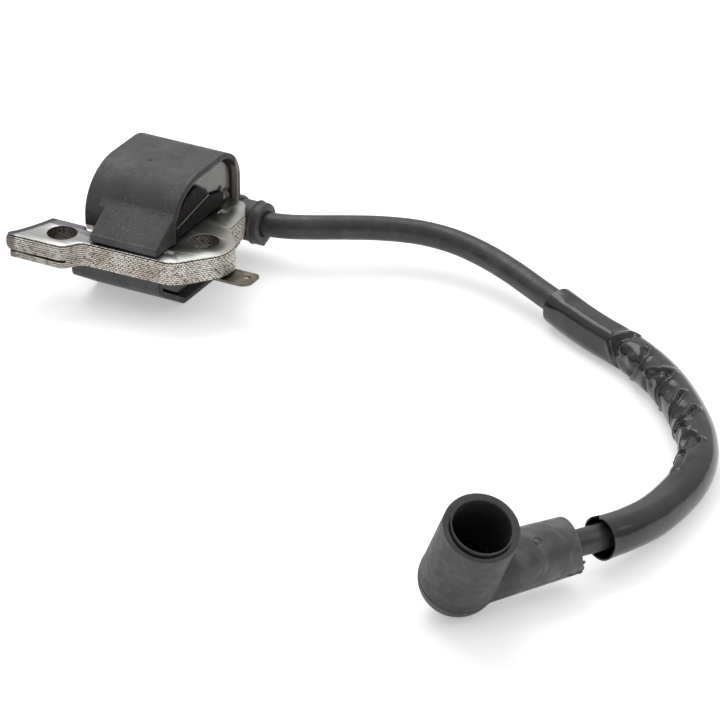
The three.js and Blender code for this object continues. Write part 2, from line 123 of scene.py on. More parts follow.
# The lead's middle line, in metres: the same points as the CAD model's route.
LEAD_ROUTE = [
    (-0.002, 0.01985, 0.0094), (0.008, 0.01985, 0.0094), (0.014, 0.01985, 0.0094),
    (0.02, 0.0207, 0.0096), (0.026, 0.023, 0.0098), (0.033, 0.027, 0.0097),
    (0.0406, 0.0312, 0.0094), (0.0485, 0.0341, 0.009), (0.057, 0.0348, 0.0085),
    (0.0658, 0.0333, 0.0078), (0.075, 0.0301, 0.007), (0.084, 0.0262, 0.006),
    (0.091, 0.0228, 0.0054), (0.098, 0.0189, 0.0049), (0.105, 0.0154, 0.0046),
    (0.113, 0.0118, 0.0044), (0.1215, 0.0067, 0.0043), (0.13, -0.0004, 0.0043),
    (0.138, -0.009, 0.0043), (0.1447, -0.018, 0.0043), (0.1492, -0.027, 0.0043),
    (0.1516, -0.0365, 0.0044), (0.1522, -0.047, 0.0049), (0.1519, -0.057, 0.006),
    (0.1503, -0.0665, 0.0075), (0.1478, -0.0743, 0.0087), (0.1446, -0.0803, 0.0092),
    (0.141, -0.0853, 0.009), (0.1364, -0.0918, 0.0088), (0.1323, -0.0975, 0.0086),
]

# Flat sides of the sleeve: angle and depth; how far they turn (places along the sleeve, degrees); and
# how low the sleeve hangs (places along it, mm).
SLEEVE_FACETS = [(78, 0.5), (160, 0.45)]
FACET_TURN = ([0, 8, 20, 30], [22, 6, 10, 16])
SLEEVE_SAG = ([0, 30, 45, 90, 110, 127], [0.85, 0.3, 0, 0, 0.35, 0.5])
# Folds of the sleeve: depth, width, where ridges stand beside the valley (-1 before it, 1 after it,
# 2 on both sides, 0 nowhere), and points (along the sleeve in mm, round it in degrees).
# Round the sleeve 90 is up and 180 is the inside of the bend.
FOLDS = [
    (0.80, 1.00, -1, [(27.2, 87), (26.5, 107), (26.0, 128), (26.2, 148), (27.0, 162)]),
    (0.50, 0.70, 0, [(23.8, 145), (25.2, 165), (26.8, 194), (27.0, 225)]),
    (0.95, 0.75, 1, [(33.8, 96), (35.6, 118), (36.5, 145), (34.8, 178), (33.5, 195)]),
    (0.60, 0.65, -1, [(42.2, 145), (44.5, 123), (45.0, 106), (46.2, 92)]),
    (1.00, 0.75, 1, [(46.4, 98), (47.8, 112), (48.4, 135), (48.4, 155), (50.4, 192)]),
    (0.45, 0.60, 0, [(41.2, 163), (42.0, 195)]),
    (0.85, 0.50, 2, [(56.0, 99), (58.5, 122), (60.0, 148), (61.0, 164), (61.2, 189)]),
    (0.85, 0.50, 2, [(63.6, 84), (66.4, 114), (67.0, 138), (66.6, 160), (66.2, 186)]),
    (0.45, 0.50, 2, [(70.8, 127), (69.0, 131), (68.2, 161)]),
    (0.85, 0.55, -1, [(77.8, 90), (80.8, 108), (81.8, 126), (82.0, 140), (84.2, 150)]),
    (0.80, 0.65, 2, [(82.6, 128), (85.0, 124), (87.8, 119), (91.2, 118)]),
]
# Dents of the sleeve: depth (bumps are negative), along, round, and half widths in mm and degrees.
DENTS = [
    (-0.30, 29.2, 123, 1.9, 17),
    (-0.40, 32.8, 150, 1.3, 13),
    (0.45, 30.5, 178, 3.0, 16),
    (0.45, 45.5, 160, 2.4, 16),
    (0.55, 53.5, 125, 2.6, 20),
    (0.50, 63.0, 128, 1.6, 20),
    (0.35, 26.8, 205, 2.0, 26),
    (0.70, 41.8, 204, 1.2, 26),
    (0.50, 52.2, 195, 1.6, 26),
    (0.75, 61.0, 189, 1.2, 26),
    (0.75, 70.8, 189, 1.3, 26),
    (0.70, 79.8, 178, 1.4, 26),
    (0.50, 90.5, 178, 2.0, 30),
    (-0.30, 85.5, 98, 2.8, 13),
    (-0.25, 93.8, 98, 3.0, 13),
]
# The round hollow in the sleeve's bend, in the same order.
HOLLOW = (1.3, 77.0, 124, 3.6, 31)
# The sleeve's end by the boot opens out, and is nicked at an angle.
FLARE = {"height": 0.35, "end": 127.2, "length": 3.5}
NICK = {"depth": 1.3, "at": 112, "width": 9}


# ---- outlines ----


def rounded(corners, step=6):
    """Points of a closed outline through corners (x, y, radius), each rounded by an arc."""
    points = []
    for i, (x, y, *rest) in enumerate(corners):
        corner = np.array([x, y], float)
        radius = rest[0] if rest else 0
        if not radius:
            points.append(corner)
            continue
        back = np.array(corners[i - 1][:2], float) - corner
        ahead = np.array(corners[(i + 1) % len(corners)][:2], float) - corner
        back /= np.linalg.norm(back)
        ahead /= np.linalg.norm(ahead)
        half = math.acos(np.clip(back @ ahead, -1, 1)) / 2
        middle = (back + ahead) / np.linalg.norm(back + ahead)
        centre = corner + middle * radius / math.sin(half)
        start = corner + back * radius / math.tan(half) - centre
        end = corner + ahead * radius / math.tan(half) - centre
        turn = math.atan2(start[0] * end[1] - start[1] * end[0], start @ end)
        steps = max(1, round(abs(turn) / math.radians(step)))
        for angle in np.linspace(0, turn, steps + 1):
            c, s = math.cos(angle), math.sin(angle)
            points.append(centre + [start[0] * c - start[1] * s, start[0] * s + start[1] * c])
    return np.array(points)


def area(points):
    x, y = points.T
    return (x * np.roll(y, -1) - np.roll(x, -1) * y).sum() / 2


def inset(points, distance):
    """The outline moved inwards by a distance; a negative distance moves it outwards."""
    ahead = np.roll(points, -1, axis=0) - points
    ahead /= np.linalg.norm(ahead, axis=1)[:, None]
    normal = np.stack([-ahead[:, 1], ahead[:, 0]], axis=1) * np.sign(area(points))
    miter = normal + np.roll(normal, 1, axis=0)
    return points + miter * 2 * distance / (miter**2).sum(1)[:, None]


def circle(x, y, r, sides):
    angles = (np.arange(sides) + 0.5) * 2 * math.pi / sides
    return np.stack([x + r * np.cos(angles), y + r * np.sin(angles)], axis=1)


def pole_x(y):
    return FLYWHEEL["x"] + math.sqrt(FLYWHEEL["r"] ** 2 - (y - FLYWHEEL["y"]) ** 2)


def pole_face(start, end, set_back=0.0):
    """Points along a pole face, without its two ends."""
    return [(pole_x(y) + set_back, y) for y in np.linspace(start, end, 13)[1:-1]]


def core_outline():
    """A lamination: a U with one bare leg, a yoke and one wound leg."""
    return rounded(
        [
            (pole_x(-26.1), -26.1, 0.7),
            (-13.4, -26.1, 3),
            (-10.4, -22, 3),
            (13.2, -21.5, 5),
            (21.9, -11.7, 7),
            (21.9, -6.3, 4.5),
            (16.3, 0.3, 1.5),
            (15.7, 7.6, 6),
            (12.6, 14.4, 3),
            (7.6, 15, 0.6),
            (7.6, 3.6, 0.6),
            (pole_x(3.6) + 1.5, 3.6, 0.5),
            *pole_face(3.6, -5.4, 1.5),
            (pole_x(-5.4) + 1.5, -5.4, 0.5),
            (7.6, -5.4, 0.6),
            (7.6, -16.2, 0.6),
            (-12.6, -16.2, 1),
            (-14.2, -14.4, 1),
            (pole_x(-14.4), -14.4, 0.5),
            *pole_face(-14.4, -26.1)[:-1],
        ]
    )


def housing_section():
    """The housing's section in Y and Z, without its apron."""
    angles = np.radians(np.arange(0, 91, 5))
    dome_y = DOME["y"] - DOME["ry"] * np.sin(angles)
    dome_z = DOME["z"] + DOME["rz"] * np.cos(angles)
    return rounded(
        [
            (-20.3, 10.7),
            (-20.3, 7, 2),
            (-9.3, 0, 2),
            (11.4, 0, 2),
            (13.6, 3.4, 1),
            (HOUSING["back"], 4.2, 1.2),
            (HOUSING["back"], HOUSING["top"], 8.5),
            *zip(dome_y, dome_z),
            (-13.8, 10.7),
        ]
    )


# ---- meshes ----


def mesh_of(name, vertices, faces, look, node, body="coil", sharp=38, mend=False):
    """A piece from vertices in millimetres, which stands for a CAD node.

    Edges sharper than an angle in degrees stay sharp. mend turns all faces outwards.
    """
    mesh = bpy.data.meshes.new(name)
    mesh.from_pydata((np.asarray(vertices, float) * MM).tolist(), [], faces)
    if mend:
        work = bmesh.new()
        work.from_mesh(mesh)
        bmesh.ops.recalc_face_normals(work, faces=work.faces)
        work.to_mesh(mesh)
        work.free()
    mesh.materials.append(LOOKS[look])
    mesh.shade_smooth()
    mesh.set_sharp_from_angle(angle=math.radians(sharp))
    made = bpy.data.objects.new(name, mesh)
    bpy.context.scene.collection.objects.link(made)
    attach(made, body)
    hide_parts(node)
    return made


def band(rings, closed):
    """Quads between rings of points (ring, point, xyz); a closed band joins its last ring to its first."""
    count, around = rings.shape[:2]
    faces = []
    for i in range(count if closed else count - 1):
        here = i * around
        there = (i + 1) % count * around
        faces += [
            (here + j, here + (j + 1) % around, there + (j + 1) % around, there + j) for j in range(around)
        ]
    return rings.reshape(-1, 3), faces


def catmull_rom(points, per_span):
    """A centripetal Catmull-Rom curve through points, as evenly counted points along each span."""
    ends = [2 * points[0] - points[1]], [2 * points[-1] - points[-2]]
    padded = np.concatenate([ends[0], points, ends[1]])
    made = []
    for p0, p1, p2, p3 in zip(padded, padded[1:], padded[2:], padded[3:]):
        d0, d1, d2 = (np.linalg.norm(b - a) ** 0.5 for a, b in ((p0, p1), (p1, p2), (p2, p3)))
        leave = ((p1 - p0) / d0 - (p2 - p0) / (d0 + d1) + (p2 - p1) / d1) * d1
        arrive = ((p2 - p1) / d1 - (p3 - p1) / (d1 + d2) + (p3 - p2) / d2) * d1
        u = np.arange(per_span)[:, None] / per_span
        bend = -3 * p1 + 3 * p2 - 2 * leave - arrive
        made.append(p1 + leave * u + bend * u**2 + (2 * p1 - 2 * p2 + leave + arrive) * u**3)
    return np.concatenate([*made, points[-1:]])


def lengths(path):
    return np.concatenate([[0], np.cumsum(np.linalg.norm(np.diff(path, axis=0), axis=1))])


def moving_frame(path):
    """Sideways and upward unit vectors across a path that never runs straight up."""
    ahead = np.gradient(path, axis=0)
    ahead /= np.linalg.norm(ahead, axis=1)[:, None]
    side = np.cross([0, 0, 1.0], ahead)
    side /= np.linalg.norm(side, axis=1)[:, None]
    return side, np.cross(ahead, side)


def tube_rings(path, radius, sides):
    """Rings of points round a path; the radius may be one number or one for each ring."""
    side, up = moving_frame(path)
    angles = np.arange(sides) * 2 * math.pi / sides
    across = np.cos(angles)[None, :, None] * side[:, None] + np.sin(angles)[None, :, None] * up[:, None]
    return path[:, None] + np.broadcast_to(radius, len(path))[:, None, None] * across


def plate(outline, holes, levels, recesses=()):
    """A plate of an outline with holes, and the material index of each of its faces.

    levels are (inset, height) from one face to the other. A recess is (outline, depth at a point).
    Cap faces have index 0, side faces index 1 and the floors of recesses index 2.
    """
    vertices, faces, kinds, first, last = [], [], [], [], []

    def add_wall(rings):
        """Faces between rings; gives the number of the first ring's first vertex."""
        points, sides = band(np.array(rings), closed=False)
        base = len(vertices)
        vertices.extend(points)
        faces.extend(tuple(base + i for i in face) for face in sides)
        kinds.extend([1] * len(sides))
        return base

    for number, loop in enumerate([outline, *holes]):
        around = len(loop)
        base = add_wall([np.c_[inset(loop, -d if number else d), np.full(around, z)] for d, z in levels])
        first.append(range(base, base + around))
        last.append(range(base + (len(levels) - 1) * around, base + len(levels) * around))
    high = levels[-1][1]
    for loop, depth in recesses:
        around = len(loop)
        floor = inset(loop, RECESS_DRAFT)
        low = np.c_[floor, [high - depth(x, y) for x, y in floor]]
        base = add_wall([np.c_[loop, np.full(around, high)], low])
        faces.append(tuple(range(base + around, base + 2 * around)))
        kinds.append(2)
        last.append(range(base, base + around))
    for loops in (first, last):
        flat = [i for loop in loops for i in loop]
        outlines = [[Vector((vertices[i][0], vertices[i][1], 0)) for i in loop] for loop in loops]
        caps = [tuple(flat[i] for i in face) for face in tessellate_polygon(outlines)]
        faces += caps
        kinds += [0] * len(caps)
    return vertices, faces, kinds


# ---- shapes as signed distances, negative inside ----


def samples(low, high, step):
    """Open arrays of sample places in X, Y and Z, two steps past a box."""
    axes = [np.arange(a - 2 * step, b + 3 * step, step, dtype=np.float32) for a, b in zip(low, high)]
    return axes[0][:, None, None], axes[1][None, :, None], axes[2][None, None, :]


def outline_distance(points, u, v):
    """Signed distance to a closed outline at places u and v."""
    nearest = np.full(np.broadcast(u, v).shape, np.inf, np.float32)
    inside = np.zeros(nearest.shape, bool)
    for (ax, ay), (bx, by) in zip(points, np.roll(points, -1, axis=0)):
        ex, ey = bx - ax, by - ay
        t = np.clip(((u - ax) * ex + (v - ay) * ey) / (ex * ex + ey * ey), 0, 1)
        nearest = np.minimum(nearest, np.hypot(u - ax - t * ex, v - ay - t * ey))
        crosses = (ay > v) != (by > v)
        inside ^= crosses & (u < ax + (v - ay) * ex / (ey or 1))
    return np.where(inside, -nearest, nearest)


def between(w, low, high):
    return np.abs(w - (low + high) / 2) - (high - low) / 2


def box(axes, low, high):
    x, y, z = (between(axis, a, b) for axis, a, b in zip(axes, low, high))
    return meet(x, meet(y, z))


def ball(x, y, z, middle, radius):
    return np.sqrt((x - middle[0]) ** 2 + (y - middle[1]) ** 2 + (z - middle[2]) ** 2) - radius


def block_distance(u, v, middle, half, radius):
    """Signed distance to a rectangle with round corners."""
    a = np.abs(u - middle[0]) - half[0] + radius
    b = np.abs(v - middle[1]) - half[1] + radius
    return np.hypot(np.maximum(a, 0), np.maximum(b, 0)) + np.minimum(np.maximum(a, b), 0) - radius


def meet(a, b, r=0.0):
    """What both shapes share, with its edge rounded to a radius."""
    if not r:
        return np.maximum(a, b)
    return np.minimum(-r, np.maximum(a, b)) + np.hypot(np.maximum(r + a, 0), np.maximum(r + b, 0))


def join(a, b, r=0.0):
    """Both shapes together, with a fillet where they meet."""
    return -meet(-a, -b, r)


def cut(a, b, r=0.0):
    """The first shape without the second."""
    return meet(a, -b, r)


def skin(field, axes):
    """Vertices and quads where a distance is zero: one vertex in each sampled cell that it crosses."""
    field = np.broadcast_to(field, tuple(axis.size for axis in axes)).astype(np.float32)
    low = np.array([axis.ravel()[0] for axis in axes])
    step = axes[0].ravel()[1] - axes[0].ravel()[0]
    inside = field < 0
    corners = [(i, j, k) for i in (0, 1) for j in (0, 1) for k in (0, 1)]
    shape = np.array(field.shape) - 1

    def corner(values, offset):
        return values[tuple(slice(o, o + n) for o, n in zip(offset, shape))]

    full = sum(corner(inside, c).astype(np.uint8) for c in corners)
    crossed = (full > 0) & (full < 8)
    cells = np.argwhere(crossed)
    values = np.stack([corner(field, c)[crossed] for c in corners], axis=1)
    place = np.zeros((len(cells), 3), np.float32)
    hits = np.zeros(len(cells), np.float32)
    for a, start in enumerate(corners):
        for axis in range(3):
            if start[axis]:
                continue
            end = tuple(1 if i == axis else s for i, s in enumerate(start))
            b = corners.index(end)
            hit = (values[:, a] < 0) != (values[:, b] < 0)
            t = values[hit, a] / (values[hit, a] - values[hit, b])
            point = np.tile(np.array(start, np.float32), (hit.sum(), 1))
            point[:, axis] = t
            place[hit] += point
            hits[hit] += 1
    vertices = low + (cells + place / hits[:, None]) * step
    number = np.full(shape, -1, np.int32)
    number[crossed] = np.arange(len(cells))
    faces = []
    for axis in range(3):
        b, c = (axis + 1) % 3, (axis + 2) % 3
        here = inside[tuple(slice(0, -1) if i == axis else slice(1, -1) for i in range(3))]
        there = inside[tuple(slice(1, None) if i == axis else slice(1, -1) for i in range(3))]
        for outward in (True, False):
            edges = np.argwhere((here & ~there) if outward else (there & ~here))
            for i in range(3):
                if i != axis:
                    edges[:, i] += 1
            ring = []
            for back_b, back_c in ((1, 1), (0, 1), (0, 0), (1, 0)):
                cell = edges.copy()
                cell[:, b] -= back_b
                cell[:, c] -= back_c
                ring.append(number[tuple(cell.T)])
            quads = np.stack(ring if outward else ring[::-1], axis=1)
            faces.append(quads)
    return vertices, np.concatenate(faces).tolist()


# ---- materials ----


class Look:
    """A Principled material, with short names for the nodes that vary it. Scales are per metre."""

    def __init__(self, name, color, roughness, **sockets):
        self.material = bpy.data.materials.new(name)
        self.material.use_nodes = True
        self.tree = self.material.node_tree
        self.shader = self.tree.nodes["Principled BSDF"]
        self.place = self.tree.nodes.new("ShaderNodeTexCoord").outputs["Object"]
        self.set("Base Color", (*color, 1))
        self.set("Roughness", roughness)
        for socket, value in sockets.items():
            self.set(socket.replace("_", " "), value)

    def set(self, socket, value):
        self.shader.inputs[socket].default_value = value

    def node(self, kind, inputs=(), **settings):
        made = self.tree.nodes.new(kind)
        for key, value in settings.items():
            setattr(made, key, value)
        for key, value in dict(inputs).items():
            if isinstance(value, bpy.types.NodeSocket):
                self.tree.links.new(value, made.inputs[key])
            else:
                made.inputs[key].default_value = value
        return made

    def noise(self, scale, detail=3.0, stretch=None, distortion=0.0):
        """Noise values; stretch scales X, Y and Z apart."""
        place = self.place
        if stretch:
            place = self.node("ShaderNodeMapping", {"Vector": place, "Scale": stretch}).outputs[0]
        values = {"Vector": place, "Scale": scale, "Detail": detail, "Distortion": distortion}
        return self.node("ShaderNodeTexNoise", values).outputs["Fac"]

    def remap(self, value, low, high, to_low=0.0, to_high=1.0):
        values = {"Value": value, "From Min": low, "From Max": high, "To Min": to_low, "To Max": to_high}
        return self.node("ShaderNodeMapRange", values).outputs["Result"]

    def blotches(self, scale, detail, low, high, to_low=0.0, to_high=1.0, **more):
        """Noise between two values, remapped."""
        return self.remap(self.noise(scale, detail, **more), low, high, to_low, to_high)

    def math(self, operation, a, b=0.0):
        return self.node("ShaderNodeMath", {0: a, 1: b}, operation=operation).outputs[0]

    def times(self, a, b):
        return self.math("MULTIPLY", a, b)

    def plus(self, a, b):
        return self.math("ADD", a, b)

    def xyz(self):
        """The place's X, Y and Z in metres."""
        return self.node("ShaderNodeSeparateXYZ", {"Vector": self.place}).outputs[:3]

    def distance_in_plan(self, x, y):
        """Distance in metres from an upright axis, whose place is in millimetres."""
        here = self.xyz()
        flat = self.node("ShaderNodeCombineXYZ", {"X": here[0], "Y": here[1]}).outputs[0]
        values = {0: flat, 1: (x * MM, y * MM, 0)}
        return self.node("ShaderNodeVectorMath", values, operation="DISTANCE").outputs["Value"]

    def mix(self, factor, a, b):
        """A mix of two colours, where each is three numbers or another mix."""
        a, b = (v if isinstance(v, bpy.types.NodeSocket) else (*v, 1) for v in (a, b))
        return self.node("ShaderNodeMix", {"Factor": factor, 6: a, 7: b}, data_type="RGBA").outputs[2]

    def color(self, value):
        self.tree.links.new(value, self.shader.inputs["Base Color"])

    def roughness(self, value):
        self.tree.links.new(value, self.shader.inputs["Roughness"])

    def bump(self, *heights):
        """Bumps from (value, depth in metres), one on the other."""
        normal = None
        for value, depth in heights:
            bump = self.node("ShaderNodeBump", {"Height": value, "Distance": depth})
            if normal:
                self.tree.links.new(normal, bump.inputs["Normal"])
            normal = bump.outputs["Normal"]
        self.tree.links.new(normal, self.shader.inputs["Normal"])


def housing_plastic(name, open_end):
    """Filled black plastic, greyed by handling, with fine pale speckles.

    At an open end its rim is brown-black, and the back wall inside is a lighter brown-grey.
    """
    look = Look(name, (0.04, 0.039, 0.042), 0.55)
    cloud = look.blotches(140, 4, 0.35, 0.7)
    base = look.mix(cloud, (0.034, 0.033, 0.036), (0.052, 0.050, 0.055))
    grain = look.blotches(2400, 2, 0.56, 0.72)
    patches = look.blotches(90, 2, 0.42, 0.62)
    speckle = look.times(grain, look.remap(patches, 0, 1, 0.25, 0.9))
    shade = look.mix(speckle, base, (0.14, 0.137, 0.145))
    if open_end:
        x, y, _ = look.xyz()
        by_rim = look.remap(x, 0.0089, 0.0092)
        shade = look.mix(by_rim, shade, (0.02, 0.018, 0.016))
        # A lighter brown-grey on the inside of the back wall at the open end.
        on_wall = look.times(look.remap(y, 0.0150, 0.0156), look.remap(y, 0.0166, 0.0163))
        pale_back_wall = look.times(on_wall, look.remap(x, 0.0078, 0.0081))
        shade = look.mix(pale_back_wall, shade, (0.24, 0.215, 0.19))
    look.color(shade)
    look.roughness(look.blotches(300, 3, 0.3, 0.7, 0.46, 0.64))
    look.bump((look.noise(2200, 3), 0.00005), (look.noise(260, 2), 0.00006))
    return look.material


def steel_face():
    """Bright rolled sheet with a faint green-grey film, and a dull band along the bare leg's edges."""
    look = Look("steel_face", (0.5, 0.5, 0.48), 0.22, Metallic=1.0)
    film = look.blotches(60, 3, 0.35, 0.68, distortion=0.5)
    bright = look.mix(film, (0.36, 0.365, 0.35), (0.46, 0.46, 0.445))
    x, y, _ = look.xyz()
    pole_r = FLYWHEEL["r"] * MM
    away = look.distance_in_plan(FLYWHEEL["x"], FLYWHEEL["y"])
    by_pole = look.remap(away, pole_r + 0.0017, pole_r + 0.0013)
    by_back = look.remap(look.plus(y, look.times(x, 0.17)), -0.0208, -0.0203)
    on_leg = look.remap(x, -0.0085, -0.0095)
    dull = look.times(look.math("MAXIMUM", by_pole, by_back), on_leg)
    film_tint = look.mix(by_pole, (0.2, 0.19, 0.205), (0.085, 0.08, 0.09))
    look.color(look.mix(dull, bright, film_tint))
    look.roughness(look.plus(look.remap(film, 0, 1, 0.28, 0.38), look.times(dull, 0.15)))
    look.bump((look.noise(90, 2), 0.00003))
    return look.material


def steel_edge():
    """Punched edge of the sheets: bright, with a dark line at each joint and staggered torn specks.

    It is duller along the bare leg. Painted shade makes it dark inside the screw holes and darkest on the end
    face of the bare leg's drawn-out tip.
    """
    look = Look("steel_edge", (0.4, 0.37, 0.33), 0.45, Metallic=0.8)
    x, y, z = look.xyz()
    sheets = look.math("DIVIDE", look.math("SUBTRACT", z, CORE_BOTTOM * MM), SHEET_PITCH * MM)
    rise = look.math("FRACT", sheets)
    stagger = look.times(look.math("FLOOR", sheets), 0.5)
    along = look.math("DIVIDE", look.plus(x, y), EDGE_SPECKS * MM)
    wander = look.times(look.noise(420, 2), 1.2)
    step = look.math("FRACT", look.plus(look.plus(along, stagger), wander))
    speck = look.remap(look.math("ABSOLUTE", look.math("SUBTRACT", step, 0.5)), 0.24, 0.42)
    on_tip = look.remap(x, -0.013, -0.007, 0.15, 1.0)
    teeth = look.noise(1700, 2)
    broad = look.blotches(160, 3, 0.35, 0.65)
    base = look.mix(broad, (0.50, 0.46, 0.40), (0.84, 0.81, 0.75))
    joint = look.remap(rise, 0.05, 0.34, 0.9, 0.0)
    torn = look.times(look.times(speck, on_tip), look.remap(teeth, 0.3, 0.6, 0.25, 0.75))
    dark = look.plus(look.math("MAXIMUM", joint, torn), look.remap(teeth, 0.52, 0.7, 0.0, 0.5))
    dark = look.plus(dark, look.remap(x, -0.008, -0.013, 0.0, 0.28))
    # Painted shade: the edge is darkened inside the screw holes.
    bore = SCREW_HOLE_R * MM + 0.0003
    for hole in SCREW_HOLES:
        in_bore = look.remap(look.distance_in_plan(*hole), bore, bore - 0.00005, 0.0, 0.4)
        dark = look.plus(dark, in_bore)
    edge = look.mix(look.remap(dark, 0.0, 1.0), base, (0.06, 0.05, 0.043))
    # Painted shade: the end face of the bare leg's tip faces away from the light, so it is painted darkest
    # here.
    tip_end_shade = look.remap(x, -0.0258, -0.0266, 0.0, 0.85)
    look.color(look.mix(tip_end_shade, edge, (0.15, 0.13, 0.11)))
    look.roughness(look.remap(teeth, 0.3, 0.7, 0.35, 0.6))
    look.bump((teeth, 0.0001))
    return look.material


def potting_resin():
    """Glossy grey resin, smooth with slight waves, with painted shade making it darker low in the sump."""
    look = Look("potting_resin", (0.13, 0.128, 0.12), 0.2)
    # high is a painted shade mask: 0 low in the sump, where the resin is painted dark for shade, and 1 above
    # it.
    high = look.remap(look.xyz()[2], 0.010, 0.0125)
    cloud = look.blotches(160, 2, 0.3, 0.7)
    pale = look.mix(cloud, (0.09, 0.089, 0.083), (0.125, 0.123, 0.115))
    look.color(look.mix(high, (0.022, 0.021, 0.02), pale))
    look.bump((look.noise(110, 2), 0.00022), (look.noise(900, 2), 0.00001))
    return look.material


def bobbin_plastic():
    """Brown-black moulded bobbin."""
    look = Look("bobbin_plastic", (0.008, 0.006, 0.005), 0.42, Specular_IOR_Level=0.12)
    cloud = look.blotches(400, 3, 0.35, 0.7)
    look.color(look.mix(cloud, (0.005, 0.004, 0.0035), (0.011, 0.009, 0.0075)))
    look.roughness(look.blotches(700, 2, 0.3, 0.7, 0.45, 0.65))
    look.bump((look.noise(1300, 2), 0.00004))
    return look.material


def plain_metal(name, low, high, roughness, scale):
    """Metal whose colour and roughness vary a little, with fine drawing lines."""
    look = Look(name, low, roughness, Metallic=1.0)
    cloud = look.blotches(scale, 3, 0.32, 0.7)
    look.color(look.mix(cloud, low, high))
    lines = look.noise(2200, 2, stretch=(0.2, 1.6, 1))
    look.roughness(look.remap(lines, 0.3, 0.7, roughness - 0.07, roughness + 0.1))
    look.bump((lines, 0.00001))
    return look.material


def plain_solid(name, low, high, roughness, scale):
    """Non-metal whose colour and roughness vary a little, with fine grain."""
    look = Look(name, low, roughness)
    cloud = look.blotches(scale, 3, 0.32, 0.7)
    look.color(look.mix(cloud, low, high))
    look.roughness(look.blotches(scale * 2, 2, 0.3, 0.7, roughness - 0.06, roughness + 0.08))
    look.bump((look.noise(scale * 4, 2), 0.00002))
    return look.material


def lead_rubber():
    """Extruded rubber: long faint drawing lines and a few dusty marks."""
    look = Look("lead_rubber", (0.028, 0.027, 0.029), 0.42)
    dust = look.blotches(260, 4, 0.48, 0.75)
    look.color(look.mix(dust, (0.026, 0.025, 0.027), (0.05, 0.049, 0.051)))
    look.roughness(look.blotches(420, 3, 0.3, 0.7, 0.34, 0.52))
    look.bump((look.noise(900, 2), 0.00003), (look.noise(150, 2), 0.00008))
    return look.material


def sleeve_plastic():
    """Thin glossy black tubing."""
    look = Look("sleeve_plastic", (0.02, 0.019, 0.02), 0.28)
    haze = look.blotches(220, 3, 0.4, 0.75)
    look.color(look.mix(haze, (0.010, 0.0094, 0.0098), (0.018, 0.0168, 0.0174)))
    look.roughness(look.blotches(350, 3, 0.3, 0.7, 0.13, 0.22))
    look.bump((look.noise(420, 2), 0.00003), (look.noise(90, 2), 0.00016))
    return look.material


def boot_rubber():
    """Moulded matte rubber, shinier and more scuffed on the neck."""
    look = Look("boot_rubber", (0.038, 0.037, 0.038), 0.56)
    cloud = look.blotches(90, 2, 0.35, 0.7)
    base = look.mix(cloud, (0.03, 0.0292, 0.03), (0.037, 0.036, 0.037))
    on_neck = look.remap(look.xyz()[1], -0.0985, -0.095)
    streaks = look.blotches(200, 5, 0.45, 0.72, 0, 0.75, stretch=(0.7, 1.6, 1), distortion=0.6)
    scuff = look.times(streaks, look.remap(on_neck, 0, 1, 0.12, 1.0))
    base = look.mix(on_neck, base, (0.058, 0.0565, 0.058))
    look.color(look.mix(scuff, base, (0.16, 0.157, 0.155)))
    worn = look.blotches(500, 3, 0.3, 0.7, 0.46, 0.66)
    look.roughness(look.math("SUBTRACT", worn, look.remap(on_neck, 0, 1, 0, 0.17)))
    look.bump((look.noise(2600, 2), 0.00003), (look.noise(200, 3), 0.00008))
    return look.material


# Two colours, roughness and the scale of their blotches.
METALS = {
    # steel_punched is partly real bright punched steel and partly a painted highlight: the dimples' floors
    # are made bright enough to shine from every side.
    "steel_punched": ((0.8, 0.79, 0.74), (0.95, 0.94, 0.9), 0.42, 900),
    "magnet_wire": ((0.42, 0.16, 0.07), (0.6, 0.27, 0.12), 0.32, 1500),
    "terminal_plate": ((0.11, 0.1, 0.08), (0.21, 0.19, 0.155), 0.36, 500),
    "contact_brass": ((0.5, 0.34, 0.12), (0.62, 0.45, 0.19), 0.3, 500),
    "conductor_copper": ((0.6, 0.27, 0.13), (0.72, 0.36, 0.2), 0.3, 500),
    # spring_steel is painted nearly black as painted shade, so that the spring reads as the shade deep in the
    # boot's bore.
    "spring_steel": ((0.012, 0.011, 0.01), (0.022, 0.02, 0.018), 0.6, 500),
}
SOLIDS = {
    "board_laminate": ((0.03, 0.1, 0.05), (0.05, 0.14, 0.07), 0.5, 500),
    "component_black": ((0.012, 0.012, 0.013), (0.03, 0.03, 0.03), 0.45, 500),
    "component_ceramic": ((0.4, 0.28, 0.14), (0.5, 0.36, 0.2), 0.45, 500),
}
LOOKS = {
    "core_steel": steel_face(),
    "steel_edge": steel_edge(),
    "housing_plastic": housing_plastic("housing_plastic", open_end=True),
    "gland_plastic": housing_plastic("gland_plastic", open_end=False),
    "potting_resin": potting_resin(),
    "bobbin_plastic": bobbin_plastic(),
    "lead_rubber": lead_rubber(),
    "sleeve_plastic": sleeve_plastic(),
    "boot_rubber": boot_rubber(),
    **{name: plain_metal(name, *values) for name, values in METALS.items()},
    **{name: plain_solid(name, *values) for name, values in SOLIDS.items()},
}

# The CAD nodes that stay as they are, by material.
KEPT_NODES = {
    "magnet_wire": ["primary_winding", *(f"secondary_winding_{i}" for i in range(1, 6))],
    "bobbin_plastic": ["secondary_bobbin"],
    "board_laminate": ["circuit_board"],
    "component_black": ["switching_transistor", "control_transistor", "suppressor_diode"],
    "component_ceramic": ["timing_capacitor", *(f"bias_resistor_{i}" for i in range(1, 4))],
    "contact_brass": ["high_tension_contact"],
    "conductor_copper": ["lead_conductor"],
}


# ---- camera ----


